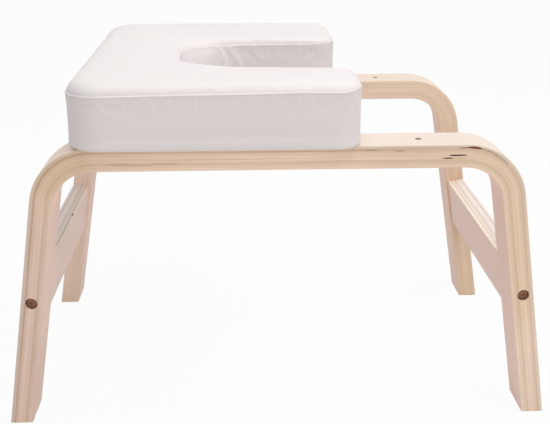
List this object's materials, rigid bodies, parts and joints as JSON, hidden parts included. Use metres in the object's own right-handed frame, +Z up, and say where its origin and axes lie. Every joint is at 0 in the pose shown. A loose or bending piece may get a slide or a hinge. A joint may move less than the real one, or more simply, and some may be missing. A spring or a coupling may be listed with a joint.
{
  "type": "yoga headstand stool",
  "caption": "Low stool with bent laminated wood side frames, end rails and a padded seat with a U-shaped neck cut-out, for headstands on the shoulders.",
  "frame": {"origin": "on the floor, under the middle of the two side frames", "axes": "+X along the stool towards its open end, where the neck cut-out opens and the frames' top rails are bare; +Z up; +Y from the front frame to the rear frame"},
  "size_m": [0.6194, 0.394, 0.3959],
  "materials": {
    "bent_veneer": "clear matt lacquer over bent laminated birch veneer",
    "rail_plywood": "clear matt lacquer over birch plywood",
    "seat_plywood": "raw plywood",
    "beech": "raw beech",
    "bronzed_steel": "dark bronzed steel",
    "zinc_steel": "bright zinc plate",
    "foam": "open-cell polyurethane foam",
    "white_leather": "semi-matt white leatherette",
    "dust_cloth": "black non-woven cloth"
  },
  "bodies": {
    "root": {"front_frame": "bent_veneer", "rear_frame": "bent_veneer", "closed_end_rail": "rail_plywood", "open_end_rail": "rail_plywood", "rail_bolt_closed_front": "bronzed_steel", "rail_bolt_closed_rear": "bronzed_steel", "rail_bolt_open_front": "bronzed_steel", "rail_bolt_open_rear": "bronzed_steel", "barrel_nut_closed_front": "zinc_steel", "barrel_nut_closed_rear": "zinc_steel", "barrel_nut_open_front": "zinc_steel", "barrel_nut_open_rear": "zinc_steel", "rail_pin_closed_front_lower": "beech", "rail_pin_closed_front_upper": "beech", "rail_pin_closed_rear_lower": "beech", "rail_pin_closed_rear_upper": "beech", "rail_pin_open_front_lower": "beech", "rail_pin_open_front_upper": "beech", "rail_pin_open_rear_lower": "beech", "rail_pin_open_rear_upper": "beech", "seat_board": "seat_plywood", "seat_foam": "foam", "seat_cover": "white_leather", "seat_dust_cover": "dust_cloth", "tee_nut_front_1": "zinc_steel", "tee_nut_front_2": "zinc_steel", "tee_nut_rear_1": "zinc_steel", "tee_nut_rear_2": "zinc_steel", "seat_washer_front_1": "zinc_steel", "seat_washer_front_2": "zinc_steel", "seat_washer_rear_1": "zinc_steel", "seat_washer_rear_2": "zinc_steel", "seat_bolt_front_1": "zinc_steel", "seat_bolt_front_2": "zinc_steel", "seat_bolt_rear_1": "zinc_steel", "seat_bolt_rear_2": "zinc_steel"}
  },
  "joints": []
}
